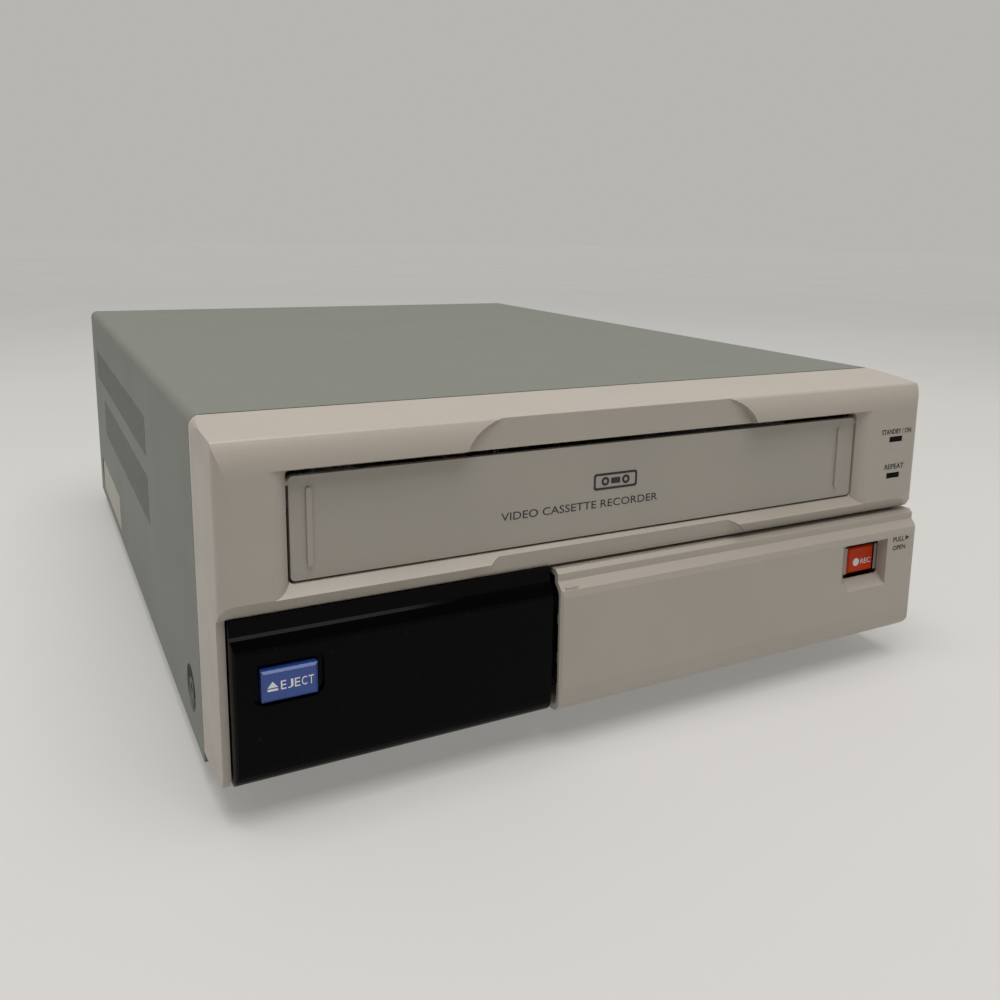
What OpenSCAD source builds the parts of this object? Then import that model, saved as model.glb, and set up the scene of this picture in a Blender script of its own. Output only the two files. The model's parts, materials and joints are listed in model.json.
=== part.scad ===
// Compact video cassette recorder for security use.
// x = 0 is the middle, y grows towards the back, z = 0 is the surface it stands on.

/* [Case] */
// Width over the cover's side walls
case_w = 242; // [240:1:242]
// Height of the cover above the standing surface
top_z = 103; // [103:1:104]
// Depth from the fascia's front plane to the back edge of the cover
case_d = 338; // [336:1:342]
// Depth of the plastic fascia
bezel_d = 25.7; // [25.5:0.1:26]
// Sheet thickness of the cover
cover_t = 1; // [0.8:0.1:1.2]

/* [Cassette flap] */
// Width of the cassette flap
flap_w = 192.7; // [192:0.1:193]
// Height of the cassette flap
flap_h = 27.2; // [27:0.1:27.4]
// How far the flap sits behind the fascia's front plane
flap_inset = 3.6; // [3.4:0.1:3.8]

/* [Front door] */
// Left edge of the door
door_x0 = -26.2; // [-26.4:0.1:-26]
// Right edge of the door
door_x1 = 120.7; // [120.4:0.1:120.8]
// How far the door stands in front of the fascia's front plane
door_proud = 2; // [1.8:0.1:2]
// Skin thickness of the door
door_t = 1.8; // [1.6:0.1:1.8]

/* [Keys] */
// Travel of each key
key_travel = 1.2; // [1:0.1:1.2]
// Eject key width
eject_w = 14.1; // [13.6:0.1:14.6]
// Eject key height
eject_h = 8.3; // [8:0.1:8.6]

/* [Tape mechanism] */
// Outer radius of the head drum
drum_r = 31; // [30:0.5:31]
// Tilt of the head drum
drum_tilt = 6; // [5:0.5:6]
// How far the cassette holder comes down
lift_travel = 27; // [25:1:27]
// Distance from the middle to each reel spindle
reel_x = 46; // [45:0.5:47]

/* [Hidden] */

$fn = 48;
big = 400;
gap = 0.4;

// Depth range of the whole object, which puts y = 0 in the middle
jack_end = case_d + 12;
y_mid = (jack_end - door_proud) / 2;

// Case levels and planes, with y measured from the fascia's front plane
half_w = case_w / 2;
cover_bottom = top_z - 96.3;
cover_y0 = bezel_d + 0.5;
pan_z0 = 7;
pan_z1 = 8;
rear_y = case_d - 2.4;
rear_t = 1;

// Fascia levels: distances down from the top of the cover
edge_drop = 2.4;
roll_end = 12;
chamfer_top = 42.9;
upper_end = 47.3;
bezel_bottom = 92.8;
lower_wall_y = 4.5;
pocket_x = [-118, 119.4];
lip_y = 9.4;
pocket_y = 15;
floor_y0 = 9;
floor_t = 1.8;

// Cassette flap
flap_x0 = -101.7;
flap_x1 = flap_x0 + flap_w;
flap_z1 = top_z - 12.9;
flap_z0 = flap_z1 - flap_h;
flap_t = 2;
flap_pivot_y = flap_inset + 1;
flap_pivot_z = flap_z1 - 1.5;
flap_pin_r = 1;
opening_x0 = flap_x0 - 0.9;
opening_x1 = flap_x1 + 0.5;
opening_z0 = flap_z0 - 0.6;
opening_z1 = flap_z1 + 1.8;
opening_r = 1.6;
recess_x = [-107.5, 96];
recess_z = [down(43.3), down(10.3)];

// Door hinge
hinge_x = door_x0 + 3;
hinge_y = 1.4;
hinge_pin_r = 1;
door_z1 = top_z - 48.3;
door_z0 = top_z - 92;
lug_z = [door_z0 + 8, door_z1 - 14];
lug_h = 6;

// Control panel behind the door, and the keys in it
panel_y = 12;
panel_t = 2;
panel_z0 = 12.5;
panel_z1 = 54.2;
rec_x = 98.7;
rec_z = top_z - 64.5;
rec_w = 12.4;
rec_h = 9.5;
key_rows = [41, 25];
key_cols = [-9, 19, 47];
key_w = [16, 20, 16];
key_h = 8;
board_y = 20;
board_t = 1.6;

// Eject key
eject_x = -103.8;
eject_z = top_z - 64.75;

// Tape mechanism, whose x is measured from the middle of the flap
mech_x = flap_x0 + flap_w / 2;
deck_z = 26;
deck_t = 1.5;
deck_top = deck_z + deck_t;
holder_y0 = 36;
holder_y1 = 142;
holder_z0 = 63.5;
holder_w = 191.4;
holder_t = 1.2;
bracket_t = 1.2;
reel_y = 88;
drum_x = -8;
drum_y = 188;
capstan_x = 64;
capstan_y = 152;
pinch_pivot = [88, 160.1];
pinch_len = 24;
pinch_rest = 150;
guide_x = [-56, 33];
guide_y = 152;
guide_travel = 30;
guide_slot_w = 5;
cam_pos = [-74, 212];
tension_pivot = [-88, 154];
clutch_r = 16;
small_pulley_r = 8;
pulley_z = 20;
belt_h = 2.4;

// Electronics
pcb_z = 20;
pcb_top = pcb_z + board_t;
jack_z = 34;

// ---------------------------------------------------------------- helpers
function arc(c, r, a0, a1, n = 10) =
    [for (i = [0:n]) c + r * [cos(a0 + (a1 - a0) * i / n), sin(a0 + (a1 - a0) * i / n)]];
function down(d) = top_z - d;

module at(p) translate([p[0], p[1] - y_mid, p[2]]) children();

// A (y, z) outline drawn out along x
module along_x(x0, x1) at([x0, 0, 0]) rotate([90, 0, 90]) linear_extrude(x1 - x0) children();

// An (x, z) outline drawn out along y
module along_y(y0, y1) at([0, y1, 0]) rotate([90, 0, 0]) linear_extrude(y1 - y0) children();

// An (x, y) outline drawn out along z
module along_z(z0, z1) at([0, 0, z0]) linear_extrude(z1 - z0) children();

module mech() translate([mech_x, 0, 0]) children();

module block(x0, x1, y0, y1, z0, z1) at([x0, y0, z0]) cube([x1 - x0, y1 - y0, z1 - z0]);

module round_rect(x0, x1, y0, y1, r)
    polygon(concat(
        arc([x1 - r, y1 - r], r, 0, 90, 6), arc([x0 + r, y1 - r], r, 90, 180, 6),
        arc([x0 + r, y0 + r], r, 180, 270, 6), arc([x1 - r, y0 + r], r, 270, 360, 6)));

module rod_x(x0, x1, y, z, r) at([x0, y, z]) rotate([0, 90, 0]) cylinder(h = x1 - x0, r = r);
module rod_y(y0, y1, x, z, r) at([x, y0, z]) rotate([-90, 0, 0]) cylinder(h = y1 - y0, r = r);
module rod_z(z0, z1, x, y, r) at([x, y, z0]) cylinder(h = z1 - z0, r = r);

// Pan-head screw along +z with a cross recess, head resting at z = 0
module screw(head_r, head_h, shank_r, shank_l) {
    difference() {
        cylinder(h = head_h, r = head_r);
        for (a = [0, 90])
            rotate([0, 0, a]) translate([-head_r * 0.6, -0.45, head_h * 0.45]) cube([head_r * 1.2, 0.9, head_h]);
    }
    translate([0, 0, -shank_l]) cylinder(h = shank_l + 0.01, r = shank_r);
}

// Spur gear outline with straight-sided teeth
module gear_2d(teeth, r_out, r_root)
    polygon([for (i = [0:teeth - 1], k = [0:3])
        let (a = 360 / teeth * (i + [0.05, 0.3, 0.55, 0.8][k]), r = (k == 1 || k == 2) ? r_out : r_root)
        r * [cos(a), sin(a)]]);

// ---------------------------------------------------------------- casing
module cover_outline(inset) {
    r = 3 - inset;
    w = half_w - inset;
    z1 = top_z - inset;
    polygon(concat([[w, cover_bottom - inset * 10]], arc([w - r, z1 - r], r, 0, 90, 6),
        arc([-w + r, z1 - r], r, 90, 180, 6), [[-w, cover_bottom - inset * 10]]));
}

slot_pitch = 3.6;
slot_w = 1.4;
slot_y0 = 122.8;
dish_y = [44, 318];
dish_z = top_z - 82.4;
dish_r = 7;
dish_depth = 1.6;

module side_slots() {
    for (y = [slot_y0:slot_pitch:317 - slot_w])
        block(-half_w - 1, half_w + 1, y, y + slot_w, down(32), down(17.7));
    for (y = [slot_y0:slot_pitch:288 - slot_w])
        block(-half_w - 1, half_w + 1, y, y + slot_w, down(56.5), down(39));
}

module top_cover() color([0.48, 0.5, 0.46]) difference() {
    union() {
        difference() {
            along_y(cover_y0, case_d) cover_outline(0);
            along_y(cover_y0 - 1, case_d - cover_t) cover_outline(cover_t);
            along_y(case_d - cover_t - 0.1, case_d + 1)
                translate([0, -9]) square([2 * half_w - 12, 2 * (top_z - 0)], center = true);
        }
        for (s = [-1, 1], y = dish_y)
            rod_x(s > 0 ? half_w - dish_depth - 1 : -half_w + 0.2,
                s > 0 ? half_w - 0.2 : -half_w + dish_depth + 1, y, dish_z, dish_r + 1);
    }
    side_slots();
    for (s = [-1, 1], y = dish_y) {
        rod_x(s > 0 ? half_w - dish_depth : -half_w - 1,
            s > 0 ? half_w + 1 : -half_w + dish_depth, y, dish_z, dish_r);
        rod_x(s > 0 ? half_w - 5 : -half_w - 1, s > 0 ? half_w + 1 : -half_w + 5, y, dish_z, 1.8);
    }
    for (x = [-80, 0, 80]) rod_y(case_d - 3, case_d + 1, x, top_z - 4.5, 1.7);
}

module bottom_chassis() color([0.62, 0.63, 0.62]) {
    difference() {
        union() {
            block(-118, 118, cover_y0 + 0.5, rear_y - 0.3, pan_z0, pan_z1);
            for (s = [-1, 1]) block(s > 0 ? 115.9 : -116.9, s > 0 ? 116.9 : -115.9,
                cover_y0 + 0.5, rear_y - 0.3, pan_z1, 30);
            block(-115.9, 115.9, cover_y0 + 0.5, cover_y0 + 1.5, pan_z1, 18);
        }
        for (x = [-70:10:70]) block(x - 1.5, x + 1.5, 60, 100, pan_z0 - 1, pan_z1 + 1);
        for (x = [-70:10:70]) block(x - 1.5, x + 1.5, 250, 300, pan_z0 - 1, pan_z1 + 1);
        for (s = [-1, 1], y = dish_y) rod_x(s > 0 ? 110 : -120, s > 0 ? 120 : -110, y, dish_z, 1.7);
    }
    for (p = board_posts) rod_z(pan_z1, pcb_z, p[0], p[1], 3);
}

board_posts = [[-104, 246], [52, 246], [-104, 320], [52, 320], [70, 246], [108, 246], [70, 320], [108, 320]];
audio_x = [-34, -14];
bnc_x = [-90, -62];
block_x = [14, 62];
dc_x = 88;

module rear_panel() color([0.55, 0.56, 0.55]) difference() {
    along_y(rear_y, rear_y + rear_t) round_rect(-118.6, 118.6, pan_z0 + 0.3, top_z - 1.6, 2);
    for (x = bnc_x) rod_y(rear_y - 1, rear_y + 2, x, jack_z, 5);
    for (x = audio_x) rod_y(rear_y - 1, rear_y + 2, x, jack_z, 5);
    block(block_x[0], block_x[1], rear_y - 1, rear_y + 2, jack_z - 7, jack_z + 9);
    rod_y(rear_y - 1, rear_y + 2, dc_x, jack_z, 5.8);
    for (x = [-80, 0, 80]) rod_y(rear_y - 1, rear_y + 2, x, top_z - 4.5, 1.4);
    for (x = [-60:8:60]) block(x - 1.5, x + 1.5, rear_y - 1, rear_y + 2, 62, 84);
}

// ---------------------------------------------------------------- fascia
roll_r = (roll_end - edge_drop) / sin(2 * atan(3 / (roll_end - edge_drop)));
roll_angle = 2 * atan(3 / (roll_end - edge_drop));

function bezel_side() = concat(
    [[bezel_d, top_z - 0.1]],
    arc([3.6, down(edge_drop + 0.8)], 0.8, 85, 180 - roll_angle, 4),
    arc([roll_r, down(roll_end)], roll_r, 180 - roll_angle + 2, 180, 10),
    [[0, down(chamfer_top)], [3.5, down(upper_end)], [lower_wall_y, down(upper_end + 0.6)],
        [lower_wall_y, down(90)], [lower_wall_y + 1, down(bezel_bottom)], [bezel_d, down(bezel_bottom)]]);

module bezel_plan(inset) {
    w = half_w - inset;
    front_w = half_w - 1 - inset;
    r = 3.5;
    polygon(concat([[w, bezel_d + inset * 2], [w, bezel_d - 3]],
        arc([front_w - r, r - 0.001], r, 0, -90, 6), arc([-front_w + r, r - 0.001], r, 270, 180, 6),
        [[-w, bezel_d - 3], [-w, bezel_d + inset * 2]]));
}

// Front view of the fascia, with its top corners rounded
module bezel_outline() {
    r = 3;
    polygon(concat([[half_w, 0]], arc([half_w - r, top_z - r], r, 0, 90, 6),
        arc([-half_w + r, top_z - r], r, 90, 180, 6), [[-half_w, 0]]));
}

// Tapered opening: wide rectangle at y0, narrow rectangle at y1
module funnel(y0, y1, wide, narrow) {
    o = 0.01;
    intersection() {
        along_z(min(wide[2], narrow[2]) - o, max(wide[3], narrow[3]) + o)
            polygon([[wide[0], y0], [wide[1], y0], [narrow[1], y1], [narrow[0], y1]]);
        along_x(min(wide[0], narrow[0]) - o, max(wide[1], narrow[1]) + o)
            polygon([[y0, wide[2]], [y0, wide[3]], [y1, narrow[3]], [y1, narrow[2]]]);
    }
}

function curve(p0, p1, p2, n = 8) =
    [for (i = [0:n]) let (t = i / n) (1 - t) * (1 - t) * p0 + 2 * t * (1 - t) * p1 + t * t * p2];

// Dish round the flap: sides that roll in gently, straight bevels above and below
module recess_bevel() intersection() {
    along_z(recess_z[0] - 0.01, recess_z[1] + 0.01) polygon(concat(
        curve([recess_x[0], -0.01], [recess_x[0] + 3.6, 0.5], [opening_x0 + 0.4, flap_inset]),
        curve([opening_x1 - 0.4, flap_inset], [recess_x[1] - 3, 0.5], [recess_x[1], -0.01])));
    along_x(recess_x[0] - 1, recess_x[1] + 1) polygon([[-0.01, recess_z[0]], [-0.01, recess_z[1]],
        [flap_inset, opening_z1 - 0.4], [flap_inset, opening_z0 + 0.4]]);
}

led_x = [105, 111.4];
led_rows = [21.2, 34.2];

scoop_h = roll_end + 1.3 - edge_drop;

module upper_scoop() intersection() {
    along_y(-1, 3.1) polygon(concat(
        [for (i = [0:10]) [-55.3 + 17 * (1 - cos(9 * i)), down(roll_end + 1) + scoop_h * sin(9 * i)]],
        [for (i = [10:-1:0]) [45.4 - 14 * (1 - cos(9 * i)), down(roll_end + 1) + scoop_h * sin(9 * i)]]));
    along_x(-60, 60) polygon([[-1, top_z + 1], [3.1, top_z + 1], [3.1, down(14)], [-1, down(14)]]);
}

module lower_scoop() intersection() {
    along_y(-1, 4) polygon(concat(
        [for (i = [0:8]) [-57 + 14 * i / 8, down(upper_end + 1) + 6.9 * (1 - cos(180 * i / 8)) / 2]],
        [for (i = [8:-1:0]) [49 - 14 * i / 8, down(upper_end + 1) + 6.9 * (1 - cos(180 * i / 8)) / 2]]));
    along_x(-60, 60) polygon([[-1, down(41.2)], [1.9, down(41.2)], [3.6, down(upper_end + 0.1)], [-1, down(upper_end + 0.1)]]);
}

module front_bezel() color([0.64, 0.61, 0.57]) difference() {
    union() {
        intersection() {
            along_x(-half_w, half_w) polygon(bezel_side());
            along_z(0, top_z) bezel_plan(0);
            along_y(-1, bezel_d + 1) bezel_outline();
        }
    }
    // upper hollow behind the front wall
    intersection() {
        along_x(-half_w + 5.2, half_w - 5.2) polygon([[7, down(4.6)], [big, down(3)], [big, down(bezel_bottom - 2.4)],
            [pocket_y + 2.4, down(bezel_bottom - 2.4)], [pocket_y + 2.4, down(upper_end - 2)], [7, down(upper_end - 2)]]);
    }
    // pocket for the display window and the door
    block(pocket_x[0], pocket_x[1], -5, pocket_y, down(bezel_bottom - floor_t), down(upper_end));
    block(pocket_x[0], pocket_x[1] + 5, -5, floor_y0, -1, down(upper_end));
    block(pocket_x[1] - 1, pocket_x[1] + 5, -5, lip_y, -1, down(upper_end));
    block(-113, 113, pocket_y - 1, pocket_y + 3, down(bezel_bottom - 5), down(upper_end + 1.5));
    // cassette opening and the bevel round it
    along_y(-5, 30) round_rect(opening_x0, opening_x1, opening_z0, opening_z1, opening_r);
    recess_bevel();
    // pin seats
    rod_x(opening_x0 - 5, opening_x1 + 5, flap_pivot_y, flap_pivot_z, flap_pin_r + 0.05);
    upper_scoop();
    lower_scoop();
    for (d = led_rows) block(led_x[0], led_x[1], -1, 8, down(d + 1), down(d - 1));
}

module indicator_leds() color([0.1, 0.1, 0.1])
    for (d = led_rows) block(led_x[0] + 0.1, led_x[1] - 0.1, 0.15, 8, down(d + 0.9), down(d - 0.9));

function lower_front(s) = concat(
    [[9, door_z1 + 0.9 - s], [2.7 + s, door_z1 + 0.9 - s]],
    arc([7.6, down(57)], 7.6 - s, 135, 180, 6),
    [[s, down(72)], [0.2 + s, down(84)]],
    arc([5.2, down(87.3)], 5 - s, 180, 270, 6),
    [[8.2, down(92.3) + s], [8.2, down(90.6) + s], [9, down(90.6) + s]]);

window_x0 = -117.7;
window_x1 = -27.9;

module window_plan(s) {
    r = 3;
    polygon(concat([[window_x1 - s, 9], [window_x1 - s, -1]],
        [[window_x0 + r, -1 + s]], arc([window_x0 + r, r - 0.6 + s], r - s, 270, 180, 6), [[window_x0 + s, 9]]));
}

module display_window() color([0.03, 0.03, 0.035]) difference() {
    intersection() {
        along_x(window_x0, window_x1) polygon(lower_front(0));
        along_z(0, top_z) window_plan(0);
    }
    along_x(window_x0 + 3, window_x1 - 2) polygon(concat([[12, door_z1 - 2]], [[4.5, door_z1 - 2]], [[2.6, down(57)],
        [2.6, down(86)], [5, down(89)], [12, down(89)]]));
    // dished recess round the eject key
    along_y(-1, 1.1) round_rect(eject_x - 9, eject_x + 9, eject_z - 5.4, eject_z + 6.8, 3);
    block(eject_x - eject_w / 2 - gap, eject_x + eject_w / 2 + gap, -1, 10,
        eject_z - eject_h / 2 - gap, eject_z + eject_h / 2 + gap);
}

module display_module() color([0.12, 0.16, 0.15]) {
    block(-84, -34, 11.5, 15, 20, 48);
    block(-80, -38, 10, 11.5, 24, 44);
}

// A key: crowned cap in front, stem behind
module key(x, z, w, h, y_front, y_back) {
    b = 0.6;
    union() {
        funnel(y_front, y_front + b, [x - w / 2 + b, x + w / 2 - b, z - h / 2 + b, z + h / 2 - b],
            [x - w / 2, x + w / 2, z - h / 2, z + h / 2]);
        block(x - w / 2, x + w / 2, y_front + b, y_back - 4, z - h / 2, z + h / 2);
        block(x - 2, x + 2, y_back - 4.01, y_back, z - 2, z + 2);
    }
}

key_back = 15;
module eject_button() color([0.13, 0.22, 0.52]) key(eject_x, eject_z, eject_w, eject_h, -1.3, key_back);
module rec_button() color([0.72, 0.22, 0.06]) key(rec_x, rec_z, rec_w, rec_h, 2.7, key_back);
module small_key(i, row) color([0.3, 0.3, 0.31]) key(key_cols[i], key_rows[row], key_w[i], key_h, 7, key_back);
module rewind_button() small_key(0, 0);
module play_button() small_key(1, 0);
module forward_button() small_key(2, 0);
module stop_button() small_key(0, 1);
module pause_button() small_key(1, 1);

module key_hole(x, z, w, h) block(x - w / 2 - gap, x + w / 2 + gap, -1, 20, z - h / 2 - gap, z + h / 2 + gap);

module control_panel() color([0.2, 0.2, 0.21]) difference() {
    union() {
        block(door_x0 + 0.2, 116.8, panel_y, panel_y + panel_t, panel_z0, panel_z1);
        for (z = lug_z) {
            block(hinge_x - 1.3, hinge_x + 1.3, hinge_y, panel_y + 0.1, z, z + lug_h);
            rod_z(z, z + lug_h, hinge_x, hinge_y, 1.3);
        }
        // cheeks either side of the REC key
        for (s = [-1, 1]) block(rec_x + s * (rec_w / 2 + 1.6) - 1.1, rec_x + s * (rec_w / 2 + 1.6) + 1.1, 2.9, panel_y + 0.1,
            rec_z - 5, rec_z + 5);
    }
    for (z = lug_z) rod_z(z - 1, z + lug_h + 1, hinge_x, hinge_y, hinge_pin_r + 0.05);
    key_hole(rec_x, rec_z, rec_w, rec_h);
    for (i = [0:2]) key_hole(key_cols[i], key_rows[0], key_w[i], key_h);
    for (i = [0:1]) key_hole(key_cols[i], key_rows[1], key_w[i], key_h);
}

module front_board() color([0.1, 0.3, 0.16]) difference() {
    block(-112, 112, board_y, board_y + board_t, 13, 56);
    for (x = [-106, 106]) rod_y(board_y - 1, board_y + 3, x, 20, 1.7);
}

module button_switches() color([0.75, 0.75, 0.72])
    for (p = [[eject_x, eject_z], [rec_x, rec_z], [key_cols[0], key_rows[0]], [key_cols[1], key_rows[0]],
            [key_cols[2], key_rows[0]], [key_cols[0], key_rows[1]], [key_cols[1], key_rows[1]]]) {
        block(p[0] - 3, p[0] + 3, board_y - 3, board_y, p[1] - 3, p[1] + 3);
        rod_y(board_y - 3.4, board_y - 2.9, p[0], p[1], 1.7);
    }

module door_magnet() color([0.25, 0.25, 0.26]) block(110, 116, 9.6, panel_y, 22, 34);

// ---------------------------------------------------------------- cassette flap
module cassette_flap() color([0.62, 0.6, 0.56]) {
    along_y(flap_inset, flap_inset + flap_t) round_rect(flap_x0, flap_x1, flap_z0, flap_z1, 1.2);
    // raised ridges near both ends
    for (x = [-96.8, 84]) along_y(flap_inset - 0.7, flap_inset + 0.1)
        round_rect(x - 0.7, x + 0.7, down(36.5), down(16), 0.6);
    // stiffening rib and pivot pins
    block(flap_x0 + 3, flap_x1 - 3, flap_inset + flap_t - 0.1, flap_inset + flap_t + 1.6, flap_z0 + 4, flap_z0 + 5.2);
    for (s = [0, 1]) rod_x(s ? flap_x1 - 1 : flap_x0 - 4, s ? flap_x1 + 4 : flap_x0 + 1,
        flap_pivot_y, flap_pivot_z, flap_pin_r);
}

module flap_spring() color([0.7, 0.7, 0.72]) {
    for (i = [0:4]) at([97 + i * 0.8, 11, flap_pivot_z]) rotate([0, 90, 0])
        rotate_extrude() translate([2.5, 0]) circle(r = 0.45, $fn = 16);
    rod_z(flap_pivot_z - 14, flap_pivot_z, 97, 13.5, 0.4);
    rod_z(flap_pivot_z - 14, flap_pivot_z, 100.2, 8.5, 0.4);
}

// ---------------------------------------------------------------- front door
function door_side(s) = concat(
    [[9, door_z1 - s], [2 + s, door_z1 - s], [0.6 + s, down(49.4) - s * 0.5], [0.6 + s, down(51.6) - s * 0.4],
        [-1.6 + s, down(54) - s * 0.3], [-door_proud + s, down(56)], [-door_proud + s, down(84)],
        [-1.7 + s, down(87)]],
    arc([2.4, down(88)], 4 - s, 180, 270, 6),
    [[7.2, door_z0 + s], [9, door_z0 + 2.2 + s]]);

module door_plan(s) {
    r = 1.2;
    polygon(concat([[door_x0 + s, 9.5], [door_x0 + s, -door_proud + 0.8], [door_x0 + s + 0.8, -door_proud - 0.01 + s]],
        arc([door_x1 - r, r - door_proud], r - s, 270, 360, 8), [[door_x1 - s, 9.5]]));
}

rec_hole = [89.4, 106.4, down(70.4), down(58.4)];
door_corner_r = 4.5;

module front_door() color([0.63, 0.6, 0.56]) difference() {
    union() {
        difference() {
            intersection() {
                along_x(door_x0, door_x1) polygon(door_side(0));
                along_z(0, top_z) door_plan(0);
                along_y(-5, 12) polygon(concat([[door_x0, door_z0]],
                    arc([door_x1 - door_corner_r, door_z0 + door_corner_r], door_corner_r, 270, 360, 8),
                    [[door_x1, door_z1], [door_x0, door_z1]]));
            }
            intersection() {
                along_x(door_x0 - 1, door_x1 - door_t) polygon(concat(door_side(door_t), [[20, door_z0 + door_t], [20, door_z1 - door_t]]));
                along_z(0, top_z) polygon([[door_x0 - 1, 12], [door_x0 - 1, -door_proud + door_t],
                    [door_x1 - 2.4, -door_proud + door_t], [door_x1 - door_t, 1], [door_x1 - door_t, 12]]);
            }
        }
        // ears that carry the hinge pins, above and below each lug
        for (z = lug_z, k = [-1, 1]) block(hinge_x - 1.5, hinge_x + 2.6, -door_proud + 0.5, hinge_y + 1.6,
            k > 0 ? z + lug_h + 0.3 : z - 3.3, k > 0 ? z + lug_h + 3.3 : z - 0.3);
        // thicker frame behind the REC window
        block(rec_hole[0] - 3, rec_hole[1] + 6.5, -door_proud + 0.5, 2.3, rec_hole[2] - 8.5, rec_hole[3] + 3);
        block(109, 116, -door_proud + 0.5, 7.8, 22, 34);
    }
    for (z = lug_z, k = [-1, 1]) rod_z(k > 0 ? z + lug_h : z - 2.3, k > 0 ? z + lug_h + 2.3 : z,
        hinge_x, hinge_y, hinge_pin_r);
    funnel(-door_proud - 0.01, 1.6, [rec_hole[0] - 4.5, rec_hole[1] + 0.1, rec_hole[2], rec_hole[3] + 1.8], rec_hole);
    funnel(-door_proud - 0.01, 1.6, [rec_hole[0] - 1.2, rec_hole[1] + 0.1, down(73.6), rec_hole[3]], rec_hole);
    along_y(-5, 5) round_rect(rec_hole[0], rec_hole[1], rec_hole[2], rec_hole[3], 1.2);
}

module door_hinge_pins() color([0.75, 0.75, 0.77])
    for (z = lug_z) rod_z(z - 2.3, z + lug_h + 2.3, hinge_x, hinge_y, hinge_pin_r);

module door_strike() color([0.7, 0.7, 0.72]) block(110, 115, 7.8, 8.6, 23, 33);

module side_label() color([0.78, 0.77, 0.7]) block(-half_w - 0.15, -half_w, 236, 316, down(91), down(76));

module feet() color([0.07, 0.07, 0.07])
    for (x = [-96, 96], y = [44, 300]) at([x, y, 0]) rotate_extrude()
        polygon([[0, 0], [8, 0], [9, 1], [9.6, pan_z0], [0, pan_z0]]);

module side_screws() color([0.6, 0.6, 0.6])
    for (s = [-1, 1], y = dish_y) at([s * (half_w - dish_depth), y, dish_z]) rotate([0, s * 90, 0])
        screw(3.2, 1.5, 1.5, 4.8);

module rear_screws() color([0.6, 0.6, 0.6])
    for (x = [-80, 0, 80]) at([x, case_d, top_z - 4.5]) rotate([-90, 0, 0]) screw(3, 1.6, 1.3, 7);

// ---------------------------------------------------------------- tape mechanism
module deck_plate() mech() color([0.66, 0.67, 0.66]) {
    difference() {
        along_z(deck_z, deck_top) round_rect(-97, 97, 32, 235, 4);
        for (x = guide_x) block(x - guide_slot_w / 2, x + guide_slot_w / 2, guide_y - 3, guide_y + guide_travel + 3,
            deck_z - 1, deck_top + 1);
        rod_z(deck_z - 1, deck_top + 1, capstan_x, capstan_y, 4.2);
        for (p = deck_feet) rod_z(deck_z - 1, deck_top + 1, p[0], p[1], 1.7);
        for (x = [-22, 8]) along_z(deck_z - 1, deck_top + 1) round_rect(x, x + 14, 50, 70, 3);
        along_z(deck_z - 1, deck_top + 1) round_rect(-30, 30, 110, 140, 5);
    }
    // posts for the reels, the arms and the cam gear
    for (x = [-reel_x, reel_x]) rod_z(deck_top - 0.1, 42, x, reel_y, 2);
    rod_z(pulley_z - 6, deck_z + 0.1, 0, reel_y, 2);
    rod_z(deck_top - 0.1, 46, pinch_pivot[0], pinch_pivot[1], 2);
    rod_z(deck_top - 0.1, 36, tension_pivot[0], tension_pivot[1], 2);
    rod_z(deck_top - 0.1, 40, cam_pos[0], cam_pos[1], 2);
}

deck_feet = [[-90, 42], [90, 42], [-90, 228], [90, 228]];

module deck_posts() mech() color([0.6, 0.6, 0.58]) difference() {
    for (p = deck_feet) rod_z(pan_z1, deck_z, p[0], p[1], 4);
    for (p = deck_feet) rod_z(deck_z - 9, deck_z + 1, p[0], p[1], 1.6);
}

module chassis_screws() mech() color([0.7, 0.68, 0.55])
    for (p = deck_feet) at([p[0], p[1], deck_top]) screw(3, 1.8, 1.5, 8);

module lift_brackets() mech() color([0.6, 0.61, 0.6])
    for (s = [-1, 1]) difference() {
        union() {
            block(s > 0 ? 99 : -100.2, s > 0 ? 100.2 : -99, 46, 144, deck_top, 92);
            block(s > 0 ? 90 : -100.2, s > 0 ? 100.2 : -90, 46, 144, deck_top, deck_top + bracket_t);
        }
        for (y = [58, 130]) block(s > 0 ? 98 : -101, s > 0 ? 101 : -98, y - 2.2, y + 2.2, 42, 79);
        block(s > 0 ? 98 : -101, s > 0 ? 101 : -98, 72, 116, 36, 78);
    }

holder_pin_z = holder_z0 + 13;

module cassette_holder() mech() color([0.7, 0.7, 0.7]) {
    w = holder_w / 2;
    h = 27.6;
    for (s = [-1, 1]) {
        block(s > 0 ? w - holder_t : -w, s > 0 ? w : -w + holder_t, holder_y0, holder_y1, holder_z0, holder_z0 + h);
        block(s > 0 ? w - 12 : -w, s > 0 ? w : -w + 12, holder_y0, holder_y1, holder_z0, holder_z0 + holder_t);
        for (y = [58, 130]) rod_x(s > 0 ? w - 0.1 : -101.5, s > 0 ? 101.5 : -w + 0.1, y, holder_pin_z, 2);
    }
    difference() {
        block(-w, w, holder_y0, holder_y1, holder_z0 + h - holder_t, holder_z0 + h);
        along_z(holder_z0, holder_z0 + h + 1) round_rect(-30, 30, 60, 110, 5);
    }
    block(-w, w, holder_y1 - holder_t, holder_y1, holder_z0 + 20, holder_z0 + h);
}

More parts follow.
